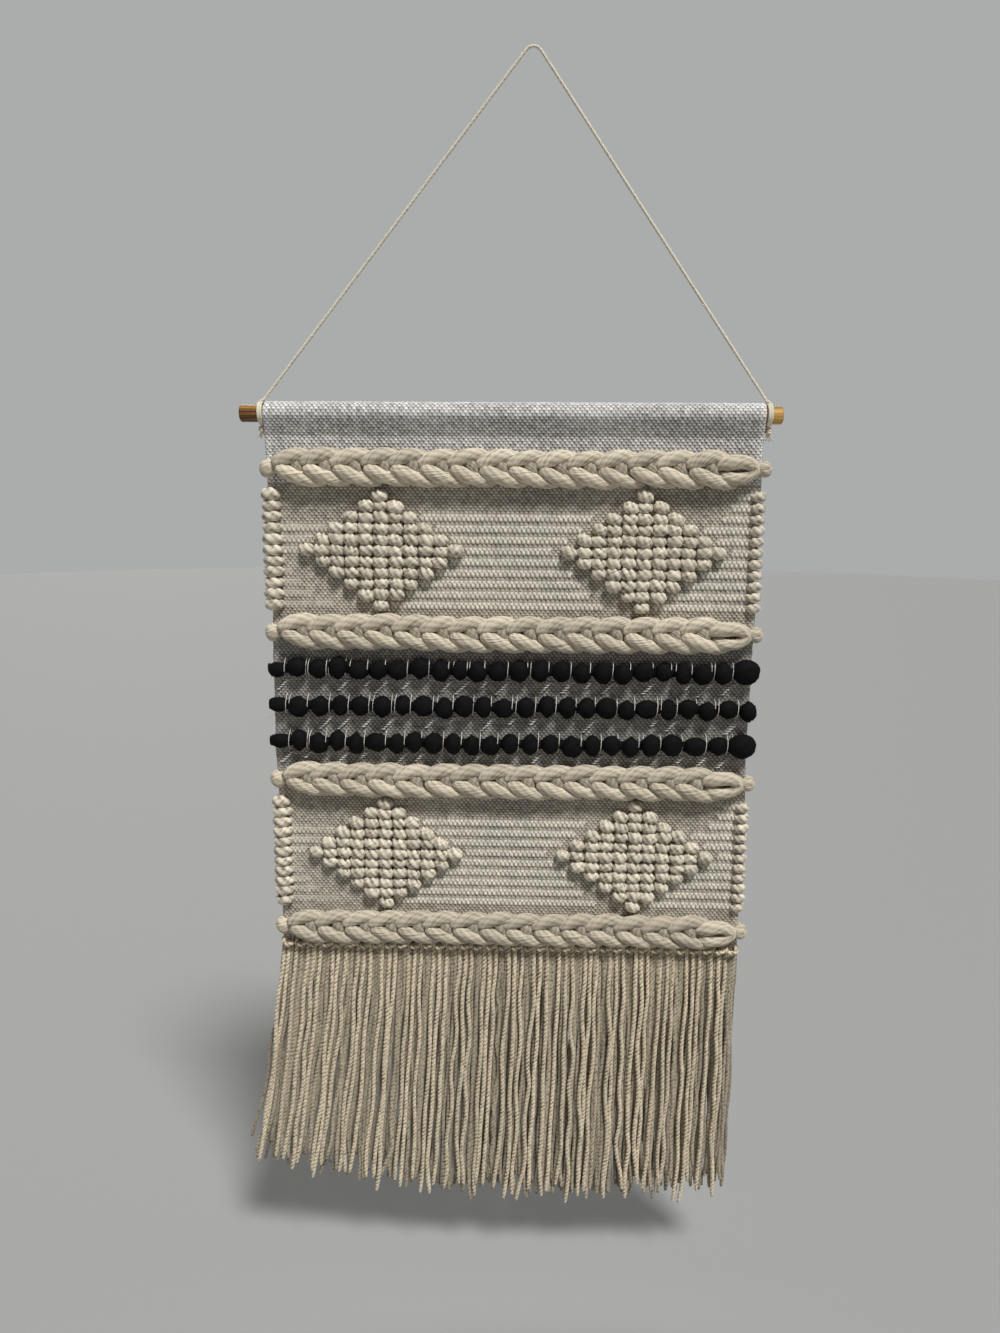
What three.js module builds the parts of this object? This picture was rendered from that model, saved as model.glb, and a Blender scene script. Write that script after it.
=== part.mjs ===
// Tapestry wall hanging: a woven panel with braids, looped diamonds and black roving
// bobbles, carried on a wooden dowel by one cotton cord, with a knotted fringe below.
// Millimetres, +Z up, the decorated face towards -Y, the wall on the +Y side.
// The origin is the underside of the cord's top bend, where a hook or nail carries it.
import * as THREE from 'three';

// ---- Driving dimensions ----
const clearance = 0.3;           // gap that every touching pair keeps

const hookRadius = 7;            // round of the hook or nail head that the cord bends over
const hookDrop = 313.5;          // from the hook's contact point down to the dowel's axis
const hookShift = 15;            // how far the hook sits right of the panel's middle
const cordRadius = 1.5;
const hitchReach = 3;            // selvedge to the middle of the cord's turn round the dowel
const knotWidth = 4.8;
const knotHeight = 6.4;
const tailLength = 7;
const tailRadius = 2.2;
const tailLean = 4;

const dowelRadius = 8;
const dowelOverhang = 19.5;      // mean length that stands out past a selvedge
const dowelChamfer = 1;
const dowelShift = 3.7;          // how far the dowel sits left of the panel's middle

const panelWidth = 469;
const clothThickness = 2;
const pocketSlack = 0.4;         // radial room for the dowel in its pocket
const pocketHeight = 39;         // sleeve top down to the first braid
const seamRadius = 0.6;

const braidHeight = 41;
const braidDepth = 16;
const braidLobes = 17;
const braidScallop = 2.5;
const braidOverhang = 3;

const diamondBand = 116;         // height of each band between two braids
const diamondRows = 11;          // odd, with one loop in the first and the last row
const diamondPitch = 14.4;       // loop to loop along a row
const diamondDepth = 9;
const diamondMargin = 29.5;      // selvedge to the widest row's outer loop

const rovingBand = 108;
const rovingPitch = 37;          // row to row
const bobbleCount = 24;
const bobbleHeight = 21.7;
const bobbleDepth = 14;
const bobbleWaist = 0.5;         // thickness between two bobbles, as a share of a bobble's
const rovingOverhang = 6;

const tasselCount = 36;
const tasselGap = 0.7;
const tasselHead = 5.6;          // radius of the lark's-head knot
const tasselNeck = 4.4;
const fringeLeft = 250;          // strand lengths at the two sides and the middle
const fringeMiddle = 286;
const fringeRight = 268;
const fringeFlare = 39;          // how far the left-hand strands spread outwards at their ends

// ---- Places that follow from them ----
const panelX = -hookShift;
const dowelX = panelX - dowelShift;
const dowelLength = panelWidth + 2 * dowelOverhang;
const axisZ = -hookDrop;
const pocketInner = dowelRadius + pocketSlack;
const pocketOuter = pocketInner + clothThickness;
const panelTop = axisZ + pocketOuter;
const frontY = -clothThickness / 2 - clearance;
const backY = clothThickness / 2 + clearance;
const leftEdge = panelX - panelWidth / 2;
const rightEdge = panelX + panelWidth / 2;

const braid1Top = panelTop - pocketHeight;
const upperBandTop = braid1Top - braidHeight;
const braid2Top = upperBandTop - diamondBand;
const rovingBandTop = braid2Top - braidHeight;
const braid3Top = rovingBandTop - rovingBand;
const lowerBandTop = braid3Top - braidHeight;
const braid4Top = lowerBandTop - diamondBand;
const panelBottom = braid4Top - braidHeight;

// ---- Turning finished shapes into the part's frame ----
const alongX = new THREE.Matrix4().makeBasis(
  new THREE.Vector3(0, 1, 0), new THREE.Vector3(0, 0, 1), new THREE.Vector3(1, 0, 0));
const facingFront = new THREE.Matrix4().makeBasis(
  new THREE.Vector3(1, 0, 0), new THREE.Vector3(0, 0, 1), new THREE.Vector3(0, -1, 0));

const hanging = new THREE.Group();

function addPart(name, geometry, colour, roughness) {
  const material = new THREE.MeshStandardMaterial({ color: colour, roughness, metalness: 0 });
  const mesh = new THREE.Mesh(geometry, material);
  mesh.name = name;
  hanging.add(mesh);
  return mesh;
}

const cordColour = 0xe6dcc4;
const weaveColour = 0xcfc8bd;
const creamColour = 0xd9cdb2;
const loopColour = 0xd8cbb3;
const blackColour = 0x1e1b1a;
const fringeColour = 0xdccbaa;
const woodColour = 0xb07b3a;

// ---- Dowel: a turned wooden rod with broken edges ----
function makeDowel() {
  const half = dowelLength / 2;
  const profile = [
    new THREE.Vector2(0, -half),
    new THREE.Vector2(dowelRadius - dowelChamfer, -half),
    new THREE.Vector2(dowelRadius, -half + dowelChamfer),
    new THREE.Vector2(dowelRadius, half - dowelChamfer),
    new THREE.Vector2(dowelRadius - dowelChamfer, half),
    new THREE.Vector2(0, half),
  ];
  const rod = new THREE.LatheGeometry(profile, 24);
  rod.rotateZ(-Math.PI / 2);
  const mesh = addPart('dowel', rod, woodColour, 0.45);
  mesh.position.set(dowelX, 0, axisZ);
}

// ---- Panel: one cloth whose top is folded over the dowel and sewn down as a rod pocket ----
// A teardrop of this radius round the dowel's axis, closing on the cloth at seamDrop below it.
function teardrop(path, radius, halfWidth, seamDrop, clockwise) {
  const bearing = Math.atan2(-seamDrop, halfWidth);
  const spread = Math.acos(radius / Math.hypot(seamDrop, halfWidth));
  const right = bearing + spread;
  if (clockwise) {
    path.absarc(0, 0, radius, Math.PI - right, right, true);
  } else {
    path.absarc(0, 0, radius, right, Math.PI - right, false);
  }
}

function makePanel() {
  const seamDrop = pocketHeight - pocketOuter;
  const half = clothThickness / 2;
  const bottom = panelBottom - axisZ;
  const outline = new THREE.Shape();
  outline.moveTo(-half, bottom);
  outline.lineTo(half, bottom);
  outline.lineTo(half, -seamDrop);
  teardrop(outline, pocketOuter, half, seamDrop, false);
  outline.lineTo(-half, -seamDrop);
  outline.closePath();

  const pocket = new THREE.Path();
  const pocketDrop = seamDrop - clothThickness;
  teardrop(pocket, pocketInner, 0, pocketDrop, true);
  pocket.lineTo(0, -pocketDrop);
  pocket.closePath();
  outline.holes.push(pocket);

  const cloth = new THREE.ExtrudeGeometry(outline, {
    depth: panelWidth, bevelEnabled: false, curveSegments: 18,
  });
  cloth.applyMatrix4(alongX);
  const mesh = addPart('woven_panel', cloth, weaveColour, 0.95);
  mesh.position.set(leftEdge, 0, axisZ);

  const seam = new THREE.CylinderGeometry(seamRadius, seamRadius, panelWidth, 8);
  seam.rotateZ(-Math.PI / 2);
  const thread = addPart('pocket_seam', seam, weaveColour, 0.9);
  thread.position.set(panelX, backY + seamRadius, braid1Top - seamRadius);
}

// ---- Braids: thick wool roving chain-stitched across the cloth, scalloped by its lobes ----
function makeBraid(name, top) {
  const lobe = panelWidth / braidLobes;
  const half = braidHeight / 2 - clearance;
  const outline = new THREE.Shape();
  outline.moveTo(-braidOverhang, -half / 2);
  for (let i = 0; i < braidLobes; i += 1) {
    outline.lineTo((i + 0.1) * lobe, -half + braidScallop);
    outline.lineTo((i + 0.35) * lobe, -half);
    outline.lineTo((i + 0.65) * lobe, -half);
  }
  outline.lineTo(panelWidth + braidOverhang, -half / 2);
  outline.lineTo(panelWidth + braidOverhang, half / 2);
  for (let i = braidLobes - 1; i >= 0; i -= 1) {
    outline.lineTo((i + 0.9) * lobe, half - braidScallop);
    outline.lineTo((i + 0.65) * lobe, half);
    outline.lineTo((i + 0.35) * lobe, half);
  }
  outline.lineTo(-braidOverhang, half / 2);
  outline.closePath();
  const round = braidScallop;
  const braid = new THREE.ExtrudeGeometry(outline, {
    depth: braidDepth - 2 * round, bevelEnabled: true, bevelSegments: 1,
    bevelThickness: round, bevelSize: round, bevelOffset: -round,
  });
  braid.applyMatrix4(facingFront);
  const mesh = addPart(name, braid, creamColour, 0.9);
  mesh.position.set(leftEdge, frontY - round, top - braidHeight / 2);
}

// ---- Diamonds: loops of soft yarn pulled up through the cloth, 1, 3, 5 ... 5, 3, 1 in a row ----
function makeDiamond(name, side, bandTop) {
  const rowHeight = (diamondBand - 2 * clearance) / diamondRows;
  const middle = (diamondRows - 1) / 2;
  const outline = new THREE.Shape();
  const halfOfRow = (row) => (diamondRows - 2 * Math.abs(row - middle)) * diamondPitch / 2;
  const edge = (row) => (row - diamondRows / 2) * rowHeight;
  outline.moveTo(-halfOfRow(0), edge(0));
  for (let row = 0; row < diamondRows; row += 1) {
    outline.lineTo(halfOfRow(row), edge(row));
    outline.lineTo(halfOfRow(row), edge(row + 1));
  }
  for (let row = diamondRows - 1; row > 0; row -= 1) {
    outline.lineTo(-halfOfRow(row), edge(row + 1));
    outline.lineTo(-halfOfRow(row), edge(row));
  }
  outline.lineTo(-halfOfRow(0), edge(1));
  outline.closePath();
  const round = diamondDepth / 6;
  const loops = new THREE.ExtrudeGeometry(outline, {
    depth: diamondDepth - 2 * round, bevelEnabled: true, bevelSegments: 1,
    bevelThickness: round, bevelSize: round, bevelOffset: -round,
  });
  loops.applyMatrix4(facingFront);
  const reach = panelWidth / 2 - diamondMargin - halfOfRow(middle);
  const mesh = addPart(name, loops, loopColour, 0.95);
  mesh.position.set(panelX + side * reach, frontY - round, bandTop - diamondBand / 2);
}

// ---- Black roving: one thick strand a row, tied down by the warp so that it stands in bobbles ----
function makeRoving(name, middleZ) {
  const length = panelWidth + 2 * rovingOverhang;
  const pitch = length / bobbleCount;
  const radius = bobbleHeight / 2;
  const waist = radius * bobbleWaist;
  const profile = [new THREE.Vector2(0, 0)];
  for (let i = 0; i < bobbleCount; i += 1) {
    profile.push(new THREE.Vector2(waist, (i + 0.04) * pitch));
    profile.push(new THREE.Vector2(radius, (i + 0.32) * pitch));
    profile.push(new THREE.Vector2(radius, (i + 0.72) * pitch));
  }
  profile.push(new THREE.Vector2(waist, length - 0.04 * pitch));
  profile.push(new THREE.Vector2(0, length));
  const strand = new THREE.LatheGeometry(profile, 8);
  strand.rotateZ(-Math.PI / 2);
  strand.scale(1, bobbleDepth / bobbleHeight, 1);
  const mesh = addPart(name, strand, blackColour, 0.95);
  mesh.position.set(leftEdge - rovingOverhang, frontY - bobbleDepth / 2, middleZ);
}

// ---- Fringe: a lark's-head knot of doubled yarn under the cloth's edge for each tassel ----
// The value at u of the curve that passes through three values at 0, 0.5 and 1.
function through(left, middle, right, u) {
  return left * (1 - u) * (1 - 2 * u) + 4 * middle * u * (1 - u) + right * u * (2 * u - 1);
}

const tasselPitch = panelWidth / tasselCount;
const tasselRadius = (tasselPitch - tasselGap) / 2;

function makeTassel(index) {
  const u = index / (tasselCount - 1);
  const length = through(fringeLeft, fringeMiddle, fringeRight, u);
  const lean = -fringeFlare * (1 - u) ** 2 / length;
  const profile = [
    new THREE.Vector2(0, -length),
    new THREE.Vector2(tasselNeck, -length),
    new THREE.Vector2(tasselRadius, -length * 0.85),
    new THREE.Vector2(tasselRadius, -length * 0.15),
    new THREE.Vector2(tasselNeck, -2 * tasselHead),
    new THREE.Vector2(tasselHead, -tasselHead),
    new THREE.Vector2(tasselHead * 0.7, -tasselHead * 0.3),
    new THREE.Vector2(0, 0),
  ];
  const strands = new THREE.LatheGeometry(profile, 8);
  strands.rotateX(Math.PI / 2);
  strands.applyMatrix4(new THREE.Matrix4().set(
    1, 0, -lean, 0,
    0, 1, 0, 0,
    0, 0, 1, 0,
    0, 0, 0, 1));
  const number = String(index + 1).padStart(2, '0');
  const mesh = addPart(`tassel_${number}`, strands, fringeColour, 0.95);
  mesh.position.set(leftEdge + (index + 0.5) * tasselPitch, 0, panelBottom - clearance);
}

// ---- Cord: one length over the hook, hitched round the dowel beside each selvedge ----
const hitchRadius = dowelRadius + clearance + cordRadius;
const leftHitch = new THREE.Vector3(leftEdge - hitchReach, 0, axisZ);
const rightHitch = new THREE.Vector3(rightEdge + hitchReach, 0, axisZ);
const bendRadius = hookRadius + cordRadius;

// The points of one straight leg, from a hitch's top to where it meets the round of the hook.
function legPoints(hitch, side) {
  const top = new THREE.Vector2(hitch.x, hitch.z + hitchRadius);
  const toHook = new THREE.Vector2(0, -hookRadius).sub(top);
  const slope = toHook.angle() - side * Math.asin(bendRadius / toHook.length());
  const run = Math.sqrt(toHook.lengthSq() - bendRadius ** 2);
  const along = new THREE.Vector2(Math.cos(slope), Math.sin(slope));
  const start = cordRadius + clearance;
  const stations = [start, 0.12 * run, 0.26 * run, 0.42 * run, 0.58 * run, 0.74 * run, 0.88 * run,
    0.96 * run, run];
  return stations.map((s) => new THREE.Vector3(top.x + along.x * s, 0, top.y + along.y * s));
}

// Even steps of this curve fall on its own points: few on a straight leg, many round the bend.
class StationCurve extends THREE.CatmullRomCurve3 {
  getPointAt(u, target) {
    return this.getPoint(u, target);
  }

  getTangentAt(u, target) {
    return this.getTangent(u, target);
  }
}

function makeCord() {
  const left = legPoints(leftHitch, -1);
  const right = legPoints(rightHitch, 1);
  const from = Math.atan2(left.at(-1).z + hookRadius, left.at(-1).x);
  const to = Math.atan2(right.at(-1).z + hookRadius, right.at(-1).x);
  const bendSteps = 6;
  const bend = [];
  for (let i = 1; i < bendSteps; i += 1) {
    const angle = from + (to - from) * i / bendSteps;
    bend.push(new THREE.Vector3(
      bendRadius * Math.cos(angle), 0, bendRadius * Math.sin(angle) - hookRadius));
  }
  const route = [...left, ...bend, ...right.reverse()];
  const section = new THREE.Shape();
  section.absarc(0, 0, cordRadius, 0, 2 * Math.PI, false);
  const cord = new THREE.ExtrudeGeometry(section, {
    steps: route.length - 1, curveSegments: 4, bevelEnabled: false,
    extrudePath: new StationCurve(route),
  });
  addPart('hanging_cord', cord, cordColour, 0.85);
}

function makeHitch(word, hitch, side) {
  const turn = new THREE.TorusGeometry(hitchRadius, cordRadius, 8, 20);
  turn.rotateY(Math.PI / 2);
  const ring = addPart(`cord_hitch_${word}`, turn, cordColour, 0.85);
  ring.position.copy(hitch);

  const knotTop = hitch.z - hitchRadius - cordRadius - clearance;
  const lump = new THREE.SphereGeometry(0.5, 10, 6);
  lump.scale(knotWidth, knotWidth * 1.3, knotHeight);
  const knot = addPart(`cord_knot_${word}`, lump, cordColour, 0.85);
  knot.position.set(hitch.x, 0, knotTop - knotHeight / 2);

  const profile = [
    new THREE.Vector2(0, -tailLength),
    new THREE.Vector2(tailRadius, -tailLength),
    new THREE.Vector2(cordRadius, 0),
    new THREE.Vector2(0, 0),
  ];
  const brush = new THREE.LatheGeometry(profile, 8);
  brush.rotateX(Math.PI / 2);
  brush.applyMatrix4(new THREE.Matrix4().set(
    1, 0, -side * tailLean / tailLength, 0,
    0, 1, 0, 0,
    0, 0, 1, 0,
    0, 0, 0, 1));
  const tail = addPart(`cord_tail_${word}`, brush, cordColour, 0.9);
  tail.position.set(hitch.x, 0, knotTop - knotHeight - clearance);
}

makeDowel();
makePanel();
makeBraid('braid_1', braid1Top);
makeDiamond('diamond_upper_left', -1, upperBandTop);
makeDiamond('diamond_upper_right', 1, upperBandTop);
makeBraid('braid_2', braid2Top);
const rovingMiddle = rovingBandTop - rovingBand / 2;
makeRoving('roving_row_1', rovingMiddle + rovingPitch);
makeRoving('roving_row_2', rovingMiddle);
makeRoving('roving_row_3', rovingMiddle - rovingPitch);
makeBraid('braid_3', braid3Top);
makeDiamond('diamond_lower_left', -1, lowerBandTop);
makeDiamond('diamond_lower_right', 1, lowerBandTop);
makeBraid('braid_4', braid4Top);
for (let index = 0; index < tasselCount; index += 1) {
  makeTassel(index);
}
makeCord();
makeHitch('left', leftHitch, -1);
makeHitch('right', rightHitch, 1);

export default hanging;
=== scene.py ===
import math

import bmesh
import bpy
import numpy as np
from mathutils import Matrix, Vector


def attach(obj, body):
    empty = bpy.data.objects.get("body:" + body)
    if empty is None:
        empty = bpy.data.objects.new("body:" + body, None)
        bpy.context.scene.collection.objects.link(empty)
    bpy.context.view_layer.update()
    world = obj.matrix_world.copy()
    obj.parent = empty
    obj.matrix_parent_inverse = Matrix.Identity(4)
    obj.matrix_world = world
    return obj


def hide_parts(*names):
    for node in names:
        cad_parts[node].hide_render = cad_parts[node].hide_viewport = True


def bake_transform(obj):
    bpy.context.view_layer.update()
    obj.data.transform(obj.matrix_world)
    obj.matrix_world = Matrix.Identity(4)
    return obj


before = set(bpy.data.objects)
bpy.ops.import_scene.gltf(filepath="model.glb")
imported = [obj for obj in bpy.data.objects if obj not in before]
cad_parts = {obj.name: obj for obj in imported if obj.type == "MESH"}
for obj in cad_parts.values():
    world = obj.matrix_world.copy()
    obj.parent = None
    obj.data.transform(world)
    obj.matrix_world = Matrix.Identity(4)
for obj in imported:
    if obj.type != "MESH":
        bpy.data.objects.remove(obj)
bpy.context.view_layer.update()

# ---- Camera ----
# It stands about a metre in front, slightly right of the cloth's middle, at the height of the
# first braid, and looks down and a little to the left.
camera_place = (0.0027, -0.9651, -0.3734)
look_down, look_left, roll = (math.radians(angle) for angle in (10.6, 1.70, 0.37))
forward = Vector((
    -math.sin(look_left) * math.cos(look_down),
    math.cos(look_left) * math.cos(look_down),
    -math.sin(look_down)))
level = forward.cross(Vector((0, 0, 1))).normalized()
upright = level.cross(forward)
camera_right = level * math.cos(roll) + upright * math.sin(roll)
camera_up = upright * math.cos(roll) - level * math.sin(roll)
lens = bpy.data.cameras.new("camera")
lens.sensor_width = 36
lens.lens = 27
camera = bpy.data.objects.new("camera", lens)
bpy.context.scene.collection.objects.link(camera)
camera.matrix_world = Matrix.Translation(camera_place) @ Matrix(
    (camera_right, camera_up, -forward)).transposed().to_4x4()
bpy.context.scene.camera = camera


# ---- Hanging cord ----
# One length of 3 mm twisted cotton cord, three-ply. It runs from the turn round the rod at the
# left, up over the hook, and down to the turn at the right, pulled straight by the weight.
mm = 0.001                       # every size below is in millimetres, and a mesh is in metres


class Signal:
    """A number inside a material: Python arithmetic on it adds the Math nodes."""

    def __init__(self, tree, node, output=0):
        self.tree, self.node, self.socket = tree, node, node.outputs[output]

    def other(self, output):
        return Signal(self.tree, self.node, output)

    def _math(self, operation, first, second):
        node = self.tree.nodes.new("ShaderNodeMath")
        node.operation = operation
        for socket, value in zip(node.inputs, (first, second)):
            if isinstance(value, Signal):
                self.tree.links.new(value.socket, socket)
            else:
                socket.default_value = value
        return Signal(self.tree, node)

    def __add__(self, other):
        return self._math("ADD", self, other)

    def __sub__(self, other):
        return self._math("SUBTRACT", self, other)

    def __rsub__(self, other):
        return self._math("SUBTRACT", other, self)

    def __mul__(self, other):
        return self._math("MULTIPLY", self, other)

    __radd__ = __add__
    __rmul__ = __mul__


class Finish:
    """One procedural material round a Principled surface, whose constants are set on it directly."""

    def __init__(self, name, constants):
        self.material = bpy.data.materials.new(name)
        self.material.use_nodes = True
        self.tree = self.material.node_tree
        self.surface = self.tree.nodes["Principled BSDF"]
        for socket, value in constants.items():
            self.surface.inputs[socket].default_value = value

    def node(self, kind, settings=None, inputs=None, output=0):
        node = self.tree.nodes.new("ShaderNode" + kind)
        for key, value in (settings or {}).items():
            if key == "stops":
                elements = node.color_ramp.elements
                while len(elements) < len(value):
                    elements.new(0.5)
                for element, (place, colour) in zip(elements, value):
                    element.position, element.color = place, (*colour, 1)
            else:
                setattr(node, key, value)
        for key, value in (inputs or {}).items():
            self.feed(node.inputs[key], value)
        return Signal(self.tree, node, output)

    def feed(self, socket, value):
        if isinstance(value, Signal):
            self.tree.links.new(value.socket, socket)
        else:
            socket.default_value = value

    def mix(self, share, first, second):
        colours = [(*c, 1) if isinstance(c, tuple) else c for c in (first, second)]
        return self.node("Mix", {"data_type": "RGBA"}, {0: share, 6: colours[0], 7: colours[1]}, 2)

    def noise(self, vector, scale, detail):
        return self.node("TexNoise", None, {"Vector": vector, "Scale": scale, "Detail": detail})

    def mark(self, name):
        return self.node("Attribute", {"attribute_name": name}, None, 2)

    def dress(self, colour, height, distance):
        self.feed(self.surface.inputs["Base Color"], colour)
        bump = self.node("Bump", None, {"Height": height, "Distance": distance, "Strength": 1.0})
        self.feed(self.surface.inputs["Normal"], bump)
        return self.material


def yarn_finish(name, light, dark, fibres, twist, relief, sheen=0.25, depth=0.55, coarse=40):
    """Spun fibres that wind round the strand, with painted shade in its creases, and a tone for each strand
    that is partly random and, for some strands, painted light or shade.
    """
    finish = Finish(name, {"Roughness": 0.92, "Sheen Weight": sheen, "Sheen Roughness": 0.5})
    lay = finish.node("SeparateXYZ", None, {0: finish.node("UVMap", {"uv_map": "lay"})})
    round_it, along = lay, lay.other(1)
    wind = finish.node("CombineXYZ", None, {
        0: round_it * fibres + along * (twist * fibres), 1: along * coarse, 2: finish.mark("tone") * 9})
    hair = finish.noise(wind, 1.0, 3.0)
    crest = finish.mark("crest")
    # Painted shade: the colour darkens towards the creases between the plies, where crest is low, by depth.
    lit = crest * depth + hair * 1.5 + (1 - depth - 0.75)
    colour = finish.mix(lit, dark, light)
    toned = finish.node("VectorMath", {"operation": "SCALE"},
                        {0: colour, "Scale": finish.mark("tone") * 0.3 + 0.85})
    return finish.dress(toned, hair, relief)


def cover(name, points, lay, marks, stations=0):
    """A closed smooth skin over a grid of points. With `stations`, a new strand starts every so
    many rows. `lay` is the UV map and `marks` the point attributes that the finishes read."""
    rows, columns = points.shape[:2]
    knit = bmesh.new()
    bmesh.ops.create_grid(knit, x_segments=columns - 1, y_segments=rows - 1, size=1)
    if stations:
        knit.faces.ensure_lookup_table()
        gaps = [knit.faces[row * (columns - 1) + j]
                for row in range(stations - 1, rows - 1, stations) for j in range(columns - 1)]
        bmesh.ops.delete(knit, geom=gaps, context="FACES")
    mesh = bpy.data.meshes.new(name)
    knit.to_mesh(mesh)
    knit.free()
    mesh.vertices.foreach_set("co", points.reshape(-1))
    corners = np.empty(len(mesh.loops), np.int32)
    mesh.loops.foreach_get("vertex_index", corners)
    mesh.uv_layers.new(name="lay").data.foreach_set("uv", lay.reshape(-1, 2)[corners].reshape(-1))
    for mark, values in marks.items():
        mesh.attributes.new(mark, "FLOAT", "POINT").data.foreach_set(
            "value", np.broadcast_to(values, (rows, columns)).astype(np.float32).reshape(-1))
    knit = bmesh.new()
    knit.from_mesh(mesh)
    bmesh.ops.remove_doubles(knit, verts=knit.verts, dist=1e-6)
    bmesh.ops.recalc_face_normals(knit, faces=knit.faces)
    for face in knit.faces:
        face.smooth = True
    knit.to_mesh(mesh)
    knit.free()
    piece = bpy.data.objects.new(name, mesh)
    bpy.context.scene.collection.objects.link(piece)
    return piece


def strands(name, paths, radii, around, plies=1, turns=0.0, crease=0.0, flat=1.0, rear=(0, 1, 0), tones=0.5):
    """One closed tube of plied yarn along each row of `paths`, all in one mesh, in millimetres.
    `turns` says how far the plies have turned at each station, `crease` how deep they part, and
    `rear` the side that stays at the back."""
    paths = np.asarray(paths, float) * mm
    count = len(paths)
    radii = np.broadcast_to(np.asarray(radii, float) * mm, paths.shape[:2])
    turns = np.broadcast_to(turns, paths.shape[:2])
    step = np.linalg.norm(np.diff(paths, axis=1), axis=2)
    length = np.concatenate([np.zeros((count, 1)), np.cumsum(step, axis=1)], axis=1)
    ahead = np.gradient(paths, axis=1)
    ahead /= np.linalg.norm(ahead, axis=2, keepdims=True)
    back = np.array(rear, float) - ahead * (ahead @ np.array(rear, float))[..., None]
    back /= np.linalg.norm(back, axis=2, keepdims=True)
    side = np.cross(ahead, back)

    def closed(values, ends=None):
        first, last = (values[:, :1], values[:, -1:]) if ends is None else (values[:, :1] * ends,) * 2
        return np.concatenate([first, values, last], axis=1)

    paths, back, side, turns, length = (closed(v) for v in (paths, back, side, turns, length))
    radii = closed(radii, 0)
    angle = np.linspace(0, 2 * math.pi, around + 1)
    crest = np.abs(np.cos(plies / 2 * (angle - 2 * math.pi * turns[..., None]))) ** 0.8
    reach = radii[..., None] * (1 - crease + crease * crest)
    points = (paths[:, :, None]
              + (reach * np.cos(angle) * flat)[..., None] * back[:, :, None]
              + (reach * np.sin(angle))[..., None] * side[:, :, None])
    rows = count * paths.shape[1]
    lay = np.stack(np.broadcast_arrays(angle / (2 * math.pi), length[..., None]), axis=-1)
    tones = np.broadcast_to(np.asarray(tones, float).reshape(-1, 1), (count, paths.shape[1]))
    return cover(name, points.reshape(rows, around + 1, 3), lay.reshape(rows, around + 1, 2),
                 {"crest": crest.reshape(rows, -1), "tone": tones.reshape(rows, 1)}, paths.shape[1])


def spline(knots, count):
    """`count` even stations on a smooth curve through the knots."""
    knots = np.asarray(knots, float)
    padded = np.concatenate([[2 * knots[0] - knots[1]], knots, [2 * knots[-1] - knots[-2]]])
    place = np.linspace(0, len(knots) - 1, count)
    i = np.minimum(place.astype(int), len(knots) - 2)
    t = (place - i)[:, None]
    a, b, c, d = (padded[i + k] for k in range(4))
    return 0.5 * (2 * b + (c - a) * t + (2 * a - 5 * b + 4 * c - d) * t ** 2
                  + (3 * b - a - 3 * c + d) * t ** 3)


# The hook's top is the frame's origin. A hair of space, the gap, is kept wherever pieces touch.
hook_radius, cord_radius, hook_drop, gap = 7, 1.5, 313.5, 0.3
rod_radius, panel_width, panel_x = 8, 469, -15
axis_z = -hook_drop
left_edge, right_edge = panel_x - panel_width / 2, panel_x + panel_width / 2
hitch_radius = rod_radius + gap + cord_radius
bend_radius = hook_radius + cord_radius
hitch_off = 3                    # from the selvedge to the middle of the cord's turns
hitch_x = {"left": left_edge - hitch_off, "right": right_edge + hitch_off}
cord_lay, cord_rings, path_step = 13, 1150, 12


def cord_leg(x, side):
    """The straight run from the top of the rod at x to where the cord meets the hook."""
    top = np.array([x, axis_z + hitch_radius])
    to_hook = np.array([0, -hook_radius]) - top
    reach = np.hypot(*to_hook)
    slope = math.atan2(to_hook[1], to_hook[0]) - side * math.asin(bend_radius / reach)
    run = math.sqrt(reach ** 2 - bend_radius ** 2)
    stations = np.linspace(cord_radius + gap, run, 9)
    return [(top[0] + math.cos(slope) * s, 0, top[1] + math.sin(slope) * s) for s in stations]


left_leg, right_leg = cord_leg(hitch_x["left"], -1), cord_leg(hitch_x["right"], 1)[::-1]
bend_from, bend_to = (math.atan2(leg[2] + hook_radius, leg[0]) for leg in (left_leg[-1], right_leg[0]))
bend = [(bend_radius * math.cos(a), 0, bend_radius * math.sin(a) - hook_radius)
        for a in np.linspace(bend_from, bend_to, 9)[1:-1]]
cord_knots = np.array(left_leg + bend + right_leg)
cord_steps = np.concatenate([[0], np.cumsum(np.linalg.norm(np.diff(cord_knots, axis=0), axis=1))])
cord_length = cord_steps[-1]
stations = np.linspace(0, cord_length, cord_rings)
cord_path = np.stack([np.interp(stations, cord_steps, cord_knots[:, k]) for k in range(3)], axis=1)
cord = strands("hanging_cord_twisted", [cord_path], cord_radius, 12, plies=3,
               turns=[stations / cord_lay], crease=0.2)
cord_finish = yarn_finish("twisted cotton cord", (0.84, 0.77, 0.62), (0.42, 0.36, 0.25), 9, 90, 0.0003,
                          coarse=300)
cord.data.materials.append(cord_finish)
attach(cord, "hanger")
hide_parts("hanging_cord")

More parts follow.
